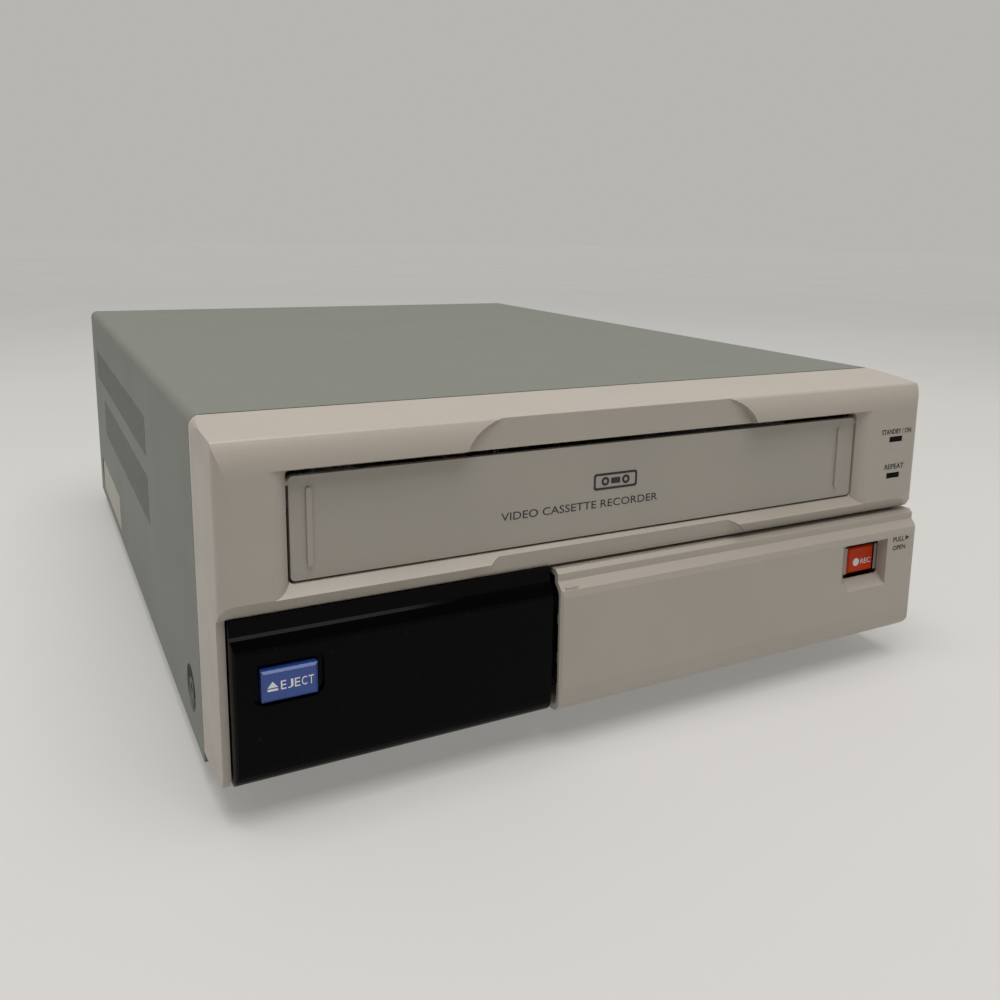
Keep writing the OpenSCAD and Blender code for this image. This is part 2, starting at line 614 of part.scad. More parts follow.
module reel(x) at([x, reel_y, 0]) difference() {
    union() {
        translate([0, 0, deck_top + 0.4]) linear_extrude(3) gear_2d(60, 20, 18.8);
        translate([0, 0, deck_top + 3.3]) cylinder(h = 2, r = 15);
        translate([0, 0, deck_top + 5.2]) cylinder(h = 9, r1 = 8, r2 = 7);
        translate([0, 0, deck_top + 14.1]) cylinder(h = 3, r1 = 7, r2 = 4);
        for (a = [0:120:240]) rotate([0, 0, a]) translate([6.5, -1, deck_top + 5.2]) cube([3, 2, 8]);
    }
    translate([0, 0, deck_z]) cylinder(h = 30, r = 2.05);
}
module supply_reel() mech() color([0.85, 0.85, 0.83]) reel(-reel_x);
module takeup_reel() mech() color([0.2, 0.2, 0.2]) reel(reel_x);

drum_z = 33;
module at_drum() at([drum_x, drum_y, drum_z]) rotate([-drum_tilt, 0, 0]) children();

module drum_base() mech() color([0.55, 0.56, 0.56]) difference() {
    at([drum_x, drum_y, deck_top]) linear_extrude(9) round_rect(-33, 33, -28, 33, 8);
    at_drum() translate([0, 0, -0.05]) cylinder(h = 30, r = 40);
}

module lower_drum() mech() color([0.72, 0.73, 0.74]) at_drum() difference() {
    union() {
        cylinder(h = 14, r = drum_r);
        translate([0, 0, 13.9]) cylinder(h = 1.1, r = 9);
    }
    translate([0, 0, 5]) cylinder(h = 20, r = 3.05);
}

module upper_drum() mech() color([0.8, 0.81, 0.82]) at_drum() {
    difference() {
        translate([0, 0, 15.3]) cylinder(h = 14, r = drum_r);
        for (a = [0:60:300]) rotate([0, 0, a]) translate([20, 0, 25]) cylinder(h = 6, r = 4);
        for (a = [0, 180]) rotate([0, 0, a]) translate([drum_r - 1.5, -1.5, 15]) cube([3, 3, 1.6]);
    }
    translate([0, 0, 29.2]) cylinder(h = 4, r = 12);
    translate([0, 0, 7]) cylinder(h = 9, r = 3);
}

module capstan() mech() color([0.68, 0.69, 0.7]) at([capstan_x, capstan_y, 0]) {
    translate([0, 0, 10.5]) difference() {
        cylinder(h = 8, r = 30);
        for (a = [0:60:300]) rotate([0, 0, a]) translate([18, 0, -1]) cylinder(h = 10, r = 5);
    }
    translate([0, 0, 18.4]) cylinder(h = 5, r = small_pulley_r);
    translate([0, 0, 10.5]) cylinder(h = 49, r = 1.5);
}

module capstan_bearing() mech() color([0.75, 0.6, 0.3]) at([capstan_x, capstan_y, 0]) difference() {
    union() {
        translate([0, 0, deck_top]) cylinder(h = 8, r = 6);
        translate([0, 0, 24.5]) cylinder(h = 4, r = 4);
    }
    cylinder(h = 60, r = 1.56);
}

pinch_x = pinch_pivot[0] + pinch_len * cos(pinch_rest);
pinch_y = pinch_pivot[1] + pinch_len * sin(pinch_rest);

module pinch_arm() mech() color([0.6, 0.61, 0.6]) {
    difference() {
        union() {
            rod_z(deck_top + 0.6, 42, pinch_pivot[0], pinch_pivot[1], 4);
            at([pinch_pivot[0], pinch_pivot[1], 36]) rotate([0, 0, pinch_rest])
                translate([0, -3, 0]) cube([pinch_len, 6, 2]);
            rod_z(36, 38, pinch_x, pinch_y, 4);
        }
        rod_z(deck_z, 50, pinch_pivot[0], pinch_pivot[1], 2.05);
    }
    rod_z(37.9, 56, pinch_x, pinch_y, 1.5);
}

module pinch_roller() mech() color([0.1, 0.1, 0.1]) difference() {
    rod_z(38.6, 54, pinch_x, pinch_y, 6.5);
    rod_z(38, 60, pinch_x, pinch_y, 1.55);
}

module guide(x) {
    block(x - 6, x + 6, guide_y - 4, guide_y + 4, deck_top + 0.3, deck_top + 5);
    rod_z(deck_z - 3, deck_top + 0.4, x, guide_y, 2);
    rod_z(deck_z - 4, deck_z - 2.9, x, guide_y, 4);
    rod_z(deck_top + 4.9, 58, x + 2, guide_y, 1.2);
    rod_z(38, 54, x + 2, guide_y, 3);
    at([x - 3, guide_y, deck_top + 4.5]) rotate([12, 0, 0]) cylinder(h = 24, r = 1.4);
}
module left_guide() mech() color([0.72, 0.72, 0.74]) guide(guide_x[0]);
module right_guide() mech() color([0.72, 0.72, 0.74]) guide(guide_x[1]);

module tension_arm() mech() color([0.7, 0.66, 0.5]) {
    difference() {
        union() {
            rod_z(deck_top + 0.5, 34, tension_pivot[0], tension_pivot[1], 3.6);
            block(tension_pivot[0], tension_pivot[0] + 18, tension_pivot[1] - 2, tension_pivot[1] + 2, 31, 32.5);
        }
        rod_z(deck_z, 40, tension_pivot[0], tension_pivot[1], 2.05);
    }
    rod_z(32.4, 54, tension_pivot[0] + 16, tension_pivot[1], 1.5);
}

module tape_head(x, y, w) {
    block(x - w / 2, x + w / 2, y - 5, y + 5, deck_top, deck_top + 2);
    block(x - 3, x + 3, y - 3, y + 3, deck_top + 1.9, 38);
    block(x - w / 2, x + w / 2, y - 4, y + 4, 38, 54);
}
module erase_head() mech() color([0.65, 0.65, 0.68]) tape_head(-72, 174, 8);
module audio_head() mech() color([0.65, 0.65, 0.68]) tape_head(49, 168, 8);

module loading_motor() mech() color([0.6, 0.6, 0.62]) {
    rod_x(52, 84, 212, deck_top + 12.3, 12);
    rod_x(43, 52.1, 212, deck_top + 12.3, 1.5);
    rod_x(44, 50, 212, deck_top + 12.3, 4);
    block(54, 82, 204, 220, deck_top, deck_top + 3);
}

module cam_gear() mech() color([0.86, 0.84, 0.78]) at([cam_pos[0], cam_pos[1], 0]) difference() {
    union() {
        translate([0, 0, deck_top + 0.5]) linear_extrude(5) gear_2d(54, 18, 16.8);
        translate([0, 0, deck_top + 5.4]) cylinder(h = 5, r = 6);
    }
    translate([0, 0, deck_z]) cylinder(h = 30, r = 2.05);
    rotate_extrude() translate([11, deck_top + 3.5]) square([3, 3]);
}

module clutch_pulley() mech() color([0.3, 0.3, 0.32]) at([0, reel_y, 0]) difference() {
    union() {
        translate([0, 0, 18.2]) cylinder(h = 1.4, r = clutch_r + 1.5);
        translate([0, 0, 19.5]) cylinder(h = 3.4, r = clutch_r);
        translate([0, 0, 14.5]) cylinder(h = 3.8, r = 10);
    }
    translate([0, 0, 10]) cylinder(h = 20, r = 2.05);
}

module belt_outline(extra) hull() {
    translate([0, reel_y]) circle(r = clutch_r + extra, $fn = 64);
    translate([capstan_x, capstan_y]) circle(r = small_pulley_r + extra, $fn = 48);
}
module reel_belt() mech() color([0.08, 0.08, 0.08]) along_z(pulley_z, pulley_z + belt_h) difference() {
    belt_outline(1.3);
    belt_outline(0.2);
}

// ---------------------------------------------------------------- electronics
module main_board() color([0.1, 0.32, 0.18]) difference() {
    block(-112, 60, 241, 328, pcb_z, pcb_top);
    block(-113, -108, 238, 244, pcb_z - 1, pcb_top + 1);
}

module capacitors() color([0.15, 0.16, 0.3]) {
    for (i = [0:4]) rod_z(pcb_top, pcb_top + 12, -96 + 12 * i, 256, 4);
    for (i = [0:2]) rod_z(pcb_top, pcb_top + 16, -94 + 14 * i, 290, 5);
    rod_z(pcb_top, pcb_top + 30, 80, 300, 9);
    rod_z(pcb_top, pcb_top + 24, 102, 300, 7);
    for (i = [0:3]) block(-24 + 18 * i, -12 + 18 * i, 252, 262, pcb_top, pcb_top + 2.4);
}

module shield_can() color([0.72, 0.73, 0.74]) difference() {
    block(-40, 20, 272, 306, pcb_top, pcb_top + 14);
    block(-39.4, 19.4, 272.6, 305.4, pcb_top - 1, pcb_top + 13.4);
    for (i = [0:5], j = [0:2]) rod_z(pcb_top, pcb_top + 20, -35 + 10 * i, 280 + 9 * j, 2);
}

module power_board() color([0.55, 0.42, 0.22]) block(64, 113, 241, 328, pcb_z, pcb_top);

module heat_sink() color([0.2, 0.2, 0.2]) {
    block(70, 108, 252, 255, pcb_top, pcb_top + 36);
    for (i = [0:6]) block(70 + 6 * i, 72 + 6 * i, 254.9, 270, pcb_top, pcb_top + 36);
}

module bnc_jacks() color([0.78, 0.78, 0.76])
    for (x = bnc_x) difference() {
        union() {
            block(x - 7, x + 7, 314, rear_y, jack_z - 7, jack_z + 7);
            rod_y(rear_y - 0.1, rear_y + rear_t + 0.1, x, jack_z, 4.9);
            rod_y(rear_y + rear_t, rear_y + rear_t + 2, x, jack_z, 7);
            rod_y(rear_y + rear_t, jack_end, x, jack_z, 4.8);
            rod_x(x - 5.6, x + 5.6, jack_end - 5, jack_z, 1);
            block(x - 5, x + 5, 316, 326, pcb_top, jack_z - 6.9);
        }
        rod_y(jack_end - 8, jack_end + 1, x, jack_z, 4.1);
    }

module audio_jacks() color([0.8, 0.75, 0.5])
    for (x = audio_x) difference() {
        union() {
            block(x - 6, x + 6, 322, rear_y, pcb_top, jack_z + 7);
            rod_y(rear_y - 0.1, rear_y + rear_t + 9, x, jack_z, 4.15);
        }
        rod_y(rear_y + rear_t, rear_y + rear_t + 10, x, jack_z, 1.6);
    }

terminal_n = 8;
module terminal_block() color([0.12, 0.12, 0.12]) difference() {
    block(block_x[0] + 0.5, block_x[1] - 0.5, 322, rear_y + rear_t + 6, jack_z - 6.5, jack_z + 8.5);
    for (i = [0:terminal_n - 1]) {
        block(block_x[0] + 2.5 + 5.5 * i, block_x[0] + 6.5 + 5.5 * i, rear_y, rear_y + 20, jack_z - 4, jack_z);
        block(block_x[0] + 2.5 + 5.5 * i, block_x[0] + 6.5 + 5.5 * i, rear_y + rear_t + 3, rear_y + 20, jack_z + 2, jack_z + 6);
    }
}

module dc_inlet() color([0.1, 0.1, 0.1]) {
    difference() {
        union() {
            rod_y(322, rear_y + rear_t + 2, dc_x, jack_z, 5.6);
            rod_y(rear_y + rear_t, rear_y + rear_t + 2, dc_x, jack_z, 7);
            block(dc_x - 5, dc_x + 5, 322, 328, pcb_top, jack_z);
        }
        rod_y(rear_y + rear_t - 7, rear_y + rear_t + 3, dc_x, jack_z, 2.85);
    }
    rod_y(rear_y + rear_t - 7.1, rear_y + rear_t, dc_x, jack_z, 1.05);
}

top_cover();
bottom_chassis();
rear_panel();
front_bezel();
display_window();
side_label();
feet();
side_screws();
rear_screws();
indicator_leds();
cassette_flap();
flap_spring();
front_door();
door_strike();
door_hinge_pins();
door_magnet();
eject_button();
rec_button();
rewind_button();
play_button();
forward_button();
stop_button();
pause_button();
control_panel();
front_board();
button_switches();
display_module();
deck_plate();
deck_posts();
chassis_screws();
lift_brackets();
cassette_holder();
supply_reel();
takeup_reel();
drum_base();
lower_drum();
upper_drum();
capstan();
capstan_bearing();
pinch_arm();
pinch_roller();
left_guide();
right_guide();
tension_arm();
erase_head();
audio_head();
loading_motor();
cam_gear();
clutch_pulley();
reel_belt();
main_board();
capacitors();
shield_can();
power_board();
heat_sink();
bnc_jacks();
audio_jacks();
terminal_block();
dc_inlet();
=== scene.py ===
"""Compact security video cassette recorder on a pale table."""
import math
import random

import bpy
import bmesh
import json
from mathutils import Matrix, Vector


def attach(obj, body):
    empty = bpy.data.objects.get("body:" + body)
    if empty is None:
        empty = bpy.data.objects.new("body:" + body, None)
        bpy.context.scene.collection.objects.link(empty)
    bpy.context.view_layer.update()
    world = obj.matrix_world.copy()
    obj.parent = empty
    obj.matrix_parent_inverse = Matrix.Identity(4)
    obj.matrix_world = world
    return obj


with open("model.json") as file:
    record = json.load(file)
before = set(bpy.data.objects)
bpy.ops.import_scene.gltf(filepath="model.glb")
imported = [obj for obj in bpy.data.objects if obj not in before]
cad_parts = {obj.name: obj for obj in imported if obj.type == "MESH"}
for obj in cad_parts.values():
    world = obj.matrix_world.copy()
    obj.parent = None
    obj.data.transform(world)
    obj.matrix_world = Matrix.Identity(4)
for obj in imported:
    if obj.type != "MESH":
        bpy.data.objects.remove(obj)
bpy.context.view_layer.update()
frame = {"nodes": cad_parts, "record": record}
nodes = frame["nodes"]
MM = 0.001

# ---------------------------------------------------------------- camera
CAMERA_PLACE = Vector((-0.1581, -0.4023, 0.1514))
CAMERA_YAW = math.radians(29.49)
CAMERA_PITCH = math.radians(10.81)
CAMERA_ROLL = math.radians(1.26)
CAMERA_LENS = 34.76
CAMERA_SHIFT = (-0.0543, -0.0872)


def make_camera():
    """A camera at the photograph's viewing angle."""
    ahead = Vector((math.sin(CAMERA_YAW) * math.cos(CAMERA_PITCH),
                    math.cos(CAMERA_YAW) * math.cos(CAMERA_PITCH), -math.sin(CAMERA_PITCH)))
    right = Vector((math.cos(CAMERA_YAW), -math.sin(CAMERA_YAW), 0))
    up = right.cross(ahead)
    right_rolled = right * math.cos(CAMERA_ROLL) + up * math.sin(CAMERA_ROLL)
    up_rolled = up * math.cos(CAMERA_ROLL) - right * math.sin(CAMERA_ROLL)
    data = bpy.data.cameras.new("camera")
    data.lens = CAMERA_LENS
    data.sensor_width = 36
    data.shift_x, data.shift_y = CAMERA_SHIFT
    data.clip_start = 0.01
    data.clip_end = 20
    camera = bpy.data.objects.new("camera", data)
    bpy.context.scene.collection.objects.link(camera)
    turn = Matrix((right_rolled, up_rolled, -ahead)).transposed()
    camera.matrix_world = Matrix.Translation(CAMERA_PLACE) @ turn.to_4x4()
    bpy.context.scene.camera = camera


# ---------------------------------------------------------------- materials
class Nodes:
    """Short names for building a material's node tree."""

    def __init__(self, name):
        self.material = bpy.data.materials.new(name)
        self.material.use_nodes = True
        self.tree = self.material.node_tree
        self.shader = self.tree.nodes["Principled BSDF"]
        self.coords = self.add("ShaderNodeTexCoord").outputs["Object"]

    def add(self, kind, **values):
        made = self.tree.nodes.new(kind)
        for key, value in values.items():
            if hasattr(made, key):
                setattr(made, key, value)
            else:
                made.inputs[key.replace("_", " ")].default_value = value
        return made

    def join(self, output, target):
        self.tree.links.new(output, target)

    def noise(self, scale, detail=3.0, rough=0.5, stretch=None):
        made = self.add("ShaderNodeTexNoise", Scale=scale, Detail=detail, Roughness=rough)
        source = self.coords
        if stretch:
            mapped = self.add("ShaderNodeMapping")
            mapped.inputs["Scale"].default_value = stretch
            self.join(self.coords, mapped.inputs["Vector"])
            source = mapped.outputs["Vector"]
        self.join(source, made.inputs["Vector"])
        return made.outputs["Fac"]

    def ramp(self, source, low, high, at=(0.35, 0.65)):
        made = self.add("ShaderNodeValToRGB")
        made.color_ramp.elements[0].position = at[0]
        made.color_ramp.elements[1].position = at[1]
        made.color_ramp.elements[0].color = low
        made.color_ramp.elements[1].color = high
        self.join(source, made.inputs["Fac"])
        return made.outputs["Color"]

    def scalar(self, source, low, high, at=(0.3, 0.7)):
        made = self.add("ShaderNodeMapRange")
        made.inputs["From Min"].default_value = at[0]
        made.inputs["From Max"].default_value = at[1]
        made.inputs["To Min"].default_value = low
        made.inputs["To Max"].default_value = high
        self.join(source, made.inputs["Value"])
        return made.outputs["Result"]

    def mix(self, factor, first, second, blend="MIX"):
        made = self.add("ShaderNodeMix", data_type="RGBA", blend_type=blend)
        for place_in, value in ((0, factor), (6, first), (7, second)):
            if hasattr(value, "links"):
                self.join(value, made.inputs[place_in])
            else:
                made.inputs[place_in].default_value = value
        return made.outputs[2]

    def bump(self, source, distance, strength=1.0, under=None):
        made = self.add("ShaderNodeBump", Strength=strength, Distance=distance)
        self.join(source, made.inputs["Height"])
        if under is not None:
            self.join(under, made.inputs["Normal"])
        return made.outputs["Normal"]

    def edges(self, radius):
        """A mask that is white along convex edges."""
        rounded = self.add("ShaderNodeBevel", samples=4, Radius=radius)
        geometry = self.add("ShaderNodeNewGeometry")
        dot = self.add("ShaderNodeVectorMath", operation="DOT_PRODUCT")
        self.join(rounded.outputs["Normal"], dot.inputs[0])
        self.join(geometry.outputs["Normal"], dot.inputs[1])
        return self.scalar(dot.outputs["Value"], 1.0, 0.0, at=(0.8, 0.99))


def shade(colour, factor):
    """A colour made lighter or darker, with its alpha."""
    return tuple(min(1.0, c * factor) for c in colour[:3]) + (1.0,)


def plastic(name, colour, rough=0.4, grain=0.00003, grain_scale=2600, spread=0.018, painted_edge_highlight=0.2, coat=0.0,
            shine=0.5):
    """Moulded plastic: spark-eroded grain, faint mottling, and a painted highlight that lightens convex
    edges.
    """
    n = Nodes(name)
    mottle = n.noise(38, 4)
    base = n.ramp(mottle, shade(colour, 1 - spread), shade(colour, 1 + spread))
    specks = n.scalar(n.noise(2100, 2), 0, 1, at=(0.55, 0.8))
    base = n.mix(specks, base, shade(colour, 0.93))
    # painted highlight: the colour is made lighter along every convex edge
    edge = n.edges(0.0006)
    painted_highlight_part = n.add("ShaderNodeMath", operation="MULTIPLY")
    n.join(edge, painted_highlight_part.inputs[0])
    painted_highlight_part.inputs[1].default_value = painted_edge_highlight
    base = n.mix(painted_highlight_part.outputs[0], base, shade(colour, 1.25))
    n.join(base, n.shader.inputs["Base Color"])
    n.join(n.scalar(n.noise(90, 5), rough - 0.04, rough + 0.05), n.shader.inputs["Roughness"])
    n.join(n.bump(n.noise(grain_scale, 2), grain, 0.6), n.shader.inputs["Normal"])
    n.shader.inputs["Specular IOR Level"].default_value = shine
    n.shader.inputs["Coat Weight"].default_value = coat
    n.shader.inputs["Coat Roughness"].default_value = 0.08
    return n.material


def gloss(name, colour, rough=0.07):
    """Polished moulding: faint wipe marks, dust and fine scratches, with a weak reflection."""
    n = Nodes(name)
    dust = n.scalar(n.noise(900, 2), 0, 0.3, at=(0.7, 0.82))
    base = n.mix(dust, shade(colour, 1), (0.03, 0.03, 0.03, 1))
    n.join(base, n.shader.inputs["Base Color"])
    wipes = n.noise(30, 5, 0.6, stretch=(1, 1, 5))
    n.join(n.scalar(wipes, rough * 0.7, rough * 2.0), n.shader.inputs["Roughness"])
    scratches = n.noise(700, 1, 0.4, stretch=(0.03, 1, 1))
    n.join(n.bump(scratches, 0.000004, 0.25), n.shader.inputs["Normal"])
    n.shader.inputs["Specular IOR Level"].default_value = 0.06
    return n.material


def paint(name, colour, rough=0.5):
    """Stoved paint on sheet steel: orange-peel texture, faint smudges and bright worn edges."""
    n = Nodes(name)
    base = n.ramp(n.noise(14, 5, 0.55), shade(colour, 0.99), shade(colour, 1.01))
    edge = n.edges(0.0005)
    worn = n.add("ShaderNodeMath", operation="MULTIPLY")
    n.join(edge, worn.inputs[0])
    n.join(n.scalar(n.noise(160, 3), 0.05, 0.5, at=(0.45, 0.7)), worn.inputs[1])
    base = n.mix(worn.outputs[0], base, shade(colour, 1.5))
    n.join(base, n.shader.inputs["Base Color"])
    n.join(n.scalar(n.noise(26, 4, 0.5), rough - 0.02, rough + 0.03), n.shader.inputs["Roughness"])
    peel = n.bump(n.noise(520, 3), 0.00006, 0.5)
    n.join(n.bump(n.noise(2600, 2), 0.00003, 0.5, under=peel), n.shader.inputs["Normal"])
    return n.material


def metal(name, colour, rough=0.3, brush=(1, 1, 30), spangle=0.0):
    """Plated or drawn metal: directional brushing, tarnish and brighter edges."""
    n = Nodes(name)
    tarnish = n.noise(55, 5, 0.6)
    base = n.ramp(tarnish, shade(colour, 0.82), shade(colour, 1.06))
    if spangle:
        cells = n.add("ShaderNodeTexVoronoi", Scale=240)
        n.join(n.coords, cells.inputs["Vector"])
        grey = n.add("ShaderNodeRGBToBW")
        n.join(cells.outputs["Color"], grey.inputs["Color"])
        grains = n.ramp(grey.outputs["Val"], (0.3, 0.3, 0.3, 1), (0.75, 0.75, 0.75, 1), at=(0.2, 0.8))
        base = n.mix(spangle, base, grains, blend="SOFT_LIGHT")
    n.join(base, n.shader.inputs["Base Color"])
    n.shader.inputs["Metallic"].default_value = 1.0
    lines = n.noise(420, 2, 0.5, stretch=brush)
    n.join(n.scalar(lines, rough - 0.08, rough + 0.12), n.shader.inputs["Roughness"])
    n.join(n.bump(lines, 0.00001, 0.4), n.shader.inputs["Normal"])
    return n.material


def board(name, colour, track):
    """Printed board: solder resist over copper tracks, with pads."""
    n = Nodes(name)
    tracks = n.add("ShaderNodeTexBrick", Scale=90.0, Mortar_Size=0.012, Brick_Width=0.8, Row_Height=0.14)
    tracks.offset = 0.35
    n.join(n.coords, tracks.inputs["Vector"])
    base = n.mix(tracks.outputs["Fac"], shade(colour, 1), shade(track, 1))
    pads = n.add("ShaderNodeTexVoronoi", Scale=210)
    n.join(n.coords, pads.inputs["Vector"])
    dots = n.scalar(pads.outputs["Distance"], 1, 0, at=(0.14, 0.2))
    base = n.mix(dots, base, (0.5, 0.5, 0.48, 1))
    n.join(base, n.shader.inputs["Base Color"])
    n.join(n.scalar(n.noise(60, 4), 0.25, 0.45), n.shader.inputs["Roughness"])
    n.join(n.bump(tracks.outputs["Fac"], 0.00002, 0.6), n.shader.inputs["Normal"])
    return n.material


def rubber(name, colour=(0.02, 0.02, 0.02)):
    """Moulded rubber with a dusty bloom."""
    n = Nodes(name)
    bloom = n.noise(120, 5, 0.6)
    n.join(n.ramp(bloom, shade(colour, 0.9), shade(colour, 2.2)), n.shader.inputs["Base Color"])
    n.join(n.scalar(bloom, 0.7, 0.9), n.shader.inputs["Roughness"])
    n.join(n.bump(n.noise(1500, 2), 0.00003, 0.5), n.shader.inputs["Normal"])
    return n.material


def glass(name, colour):
    """Dark display glass over a grid of phosphor dots."""
    n = Nodes(name)
    cells = n.add("ShaderNodeTexBrick", Scale=260.0, Mortar_Size=0.05, Brick_Width=0.3, Row_Height=0.3)
    n.join(n.coords, cells.inputs["Vector"])
    n.join(n.mix(cells.outputs["Fac"], shade(colour, 1.6), shade(colour, 0.6)), n.shader.inputs["Base Color"])
    n.join(n.scalar(n.noise(50, 4), 0.03, 0.12), n.shader.inputs["Roughness"])
    return n.material


BEZEL = (0.435, 0.395, 0.345)
FINE_GRAIN = 0.00001
SLOTS = {
    "cover_paint": lambda: paint("cover_paint", (0.172, 0.181, 0.16)),
    "bezel_plastic": lambda: plastic("bezel_plastic", BEZEL, rough=0.33),
    "flap_plastic": lambda: plastic("flap_plastic", (0.385, 0.358, 0.315), rough=0.42),
    "gloss_black": lambda: gloss("gloss_black", (0.0012, 0.0012, 0.0014)),
    "dark_plastic": lambda: plastic("dark_plastic", (0.018, 0.018, 0.02), rough=0.5),
    "key_plastic": lambda: plastic("key_plastic", (0.09, 0.09, 0.095), rough=0.42),
    "blue_plastic": lambda: plastic("blue_plastic", (0.022, 0.065, 0.30), rough=0.3, spread=0.04, coat=0.2),
    "orange_plastic": lambda: plastic("orange_plastic", (0.62, 0.042, 0.003), rough=0.5, spread=0.03,
                                      shine=0.2),
    "zinc_steel": lambda: metal("zinc_steel", (0.62, 0.62, 0.6), 0.36, spangle=0.25),
    "screw_steel": lambda: metal("screw_steel", (0.5, 0.5, 0.48), 0.32),
    # painted shade: the side screws carry the cover's paint, and this darker copy of it paints the shade in
    # their recesses
    "screw_dark": lambda: paint("screw_dark", (0.07, 0.075, 0.067)),
    "chrome_steel": lambda: metal("chrome_steel", (0.72, 0.72, 0.73), 0.16),
    "drum_aluminium": lambda: metal("drum_aluminium", (0.78, 0.79, 0.8), 0.22, brush=(1, 1, 60)),
    "motor_steel": lambda: metal("motor_steel", (0.5, 0.5, 0.52), 0.35),
    "bearing_brass": lambda: metal("bearing_brass", (0.7, 0.5, 0.2), 0.3),
    "rubber_black": lambda: rubber("rubber_black"),
    "label_paper": lambda: plastic("label_paper", (0.5, 0.49, 0.43), rough=0.6, grain=FINE_GRAIN * 2),
    "gear_acetal": lambda: plastic("gear_acetal", (0.72, 0.7, 0.63), rough=0.4),
    "board_green": lambda: board("board_green", (0.015, 0.085, 0.03), (0.04, 0.16, 0.06)),
    "board_brown": lambda: board("board_brown", (0.25, 0.13, 0.045), (0.4, 0.24, 0.1)),
    "part_sleeve": lambda: plastic("part_sleeve", (0.015, 0.015, 0.05), rough=0.25, coat=0.3),
    "display_glass": lambda: glass("display_glass", (0.02, 0.05, 0.045)),
    "tin_plate": lambda: metal("tin_plate", (0.68, 0.69, 0.7), 0.28, spangle=0.15),
    "insert_white": lambda: plastic("insert_white", (0.75, 0.74, 0.7), rough=0.35),
    "resistor_body": lambda: plastic("resistor_body", (0.5, 0.35, 0.2), rough=0.35),
    "phosphor": lambda: plastic("phosphor", (0.25, 0.7, 0.6), rough=0.4),
    "print_dark": lambda: plastic("print_dark", (0.02, 0.02, 0.022), rough=0.55, grain=FINE_GRAIN),
    "print_white": lambda: plastic("print_white", (0.8, 0.82, 0.85), rough=0.5, grain=FINE_GRAIN),
}
made = {}


def material(slot):
    """The material of a slot, made once."""
    if slot not in made:
        made[slot] = SLOTS[slot]()
    return made[slot]


FINE_EDGE = 0.15 * MM
EDGE_RADIUS = {
    "front_bezel": 0.6 * MM, "front_door": 0.5 * MM, "display_window": 0.5 * MM, "cassette_flap": 0.3 * MM,
    "eject_button": 0.35 * MM, "rec_button": 0.3 * MM, "top_cover": 0.25 * MM, "play_button": 0.3 * MM,
    "stop_button": 0.3 * MM, "rewind_button": 0.3 * MM, "forward_button": 0.3 * MM,
    "pause_button": 0.3 * MM,
}


def dress_nodes():
    """Every CAD node takes its record slot's material, and softened edges."""
    record_slots = {s["node"]: s["material_slot"] for s in frame["record"]["subparts"]}
    for name, piece in nodes.items():
        piece.data.materials.clear()
        piece.data.materials.append(material(record_slots[name]))
        soften(piece, EDGE_RADIUS.get(name, FINE_EDGE), 2 if name in EDGE_RADIUS else 1)


def soften(piece, radius, segments):
    """Rounded edges and smooth shading between them."""
    bevel = piece.modifiers.new("edge", "BEVEL")
    bevel.width = radius
    bevel.segments = segments
    bevel.limit_method = "ANGLE"
    bevel.angle_limit = math.radians(28)
    bevel.use_clamp_overlap = True
    bevel.harden_normals = True


# ---------------------------------------------------------------- pieces
DEPTH_MID = 174.0
TOP = 103.0
# how far each face lies behind the fascia's front plane
DOOR_FACE = -2
EJECT_FACE = -1.3
BEZEL_FACE = 0
REC_FACE = 2.7
FLAP_FACE = 3.6
KEY_FACE = 7
PANEL_FACE = 12
BACK_FACE = 336.6
# a print stands this far out of its face, and reaches this far into it
INK_OUT = 0.06
INK_IN = 0.02
BOARD_TOP = 21.62


def place(x, y, z):
    """A point from its mm off the middle, behind the fascia's front plane and above the table."""
    return Vector((x * MM, (y - DEPTH_MID) * MM, z * MM))


def adopt(obj, slot, body, look=None):
    """A finished piece: its material, from its look or else its slot, and its body."""
    obj.data.materials.clear()
    obj.data.materials.append(material(look or slot))
    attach(obj, body)
    return obj


def mesh_piece(name, build, slot, body, look=None):
    """A piece whose mesh is made by build(bmesh), in mm."""
    bm = bmesh.new()
    build(bm)
    bmesh.ops.recalc_face_normals(bm, faces=bm.faces)
    for vert in bm.verts:
        vert.co = place(*vert.co)
    mesh = bpy.data.meshes.new(name)
    bm.to_mesh(mesh)
    bm.free()
    obj = bpy.data.objects.new(name, mesh)
    bpy.context.scene.collection.objects.link(obj)
    return adopt(obj, slot, body, look)


def spot(axis, a, b, c):
    """The point at c along an axis: a, b are x, z when it is y, and x, y when it is z."""
    return (a, c, b) if axis == "y" else (a, b, c)


def prism(bm, outline, axis, start, end):
    """An outline of (a, b) points drawn out along an axis."""
    first = [bm.verts.new(spot(axis, a, b, start)) for a, b in outline]
    last = [bm.verts.new(spot(axis, a, b, end)) for a, b in outline]
    bm.faces.new(first)
    bm.faces.new(last)
    for i in range(len(outline)):
        j = (i + 1) % len(outline)
        bm.faces.new((first[i], first[j], last[j], last[i]))


def rounded(x0, x1, z0, z1, r, steps=5):
    """Outline of a rectangle with rounded corners."""
    points = []
    corners = ((x1 - r, z1 - r, 0), (x0 + r, z1 - r, 90), (x0 + r, z0 + r, 180), (x1 - r, z0 + r, 270))
    for cx, cz, turn in corners:
        for i in range(steps + 1):
            a = math.radians(turn + 90 * i / steps)
            points.append((cx + r * math.cos(a), cz + r * math.sin(a)))
    return points


def oblong(x0, x1, z0, z1):
    """Outline of a rectangle with square corners."""
    return [(x0, z0), (x1, z0), (x1, z1), (x0, z1)]


def disc(x, z, r, steps=24):
    """Outline of a circle."""
    return [(x + r * math.cos(2 * math.pi * i / steps), z + r * math.sin(2 * math.pi * i / steps))
            for i in range(steps)]


def inked(face):
    """Start and end of a print on a front-facing plane."""
    return face - INK_OUT, face + INK_IN


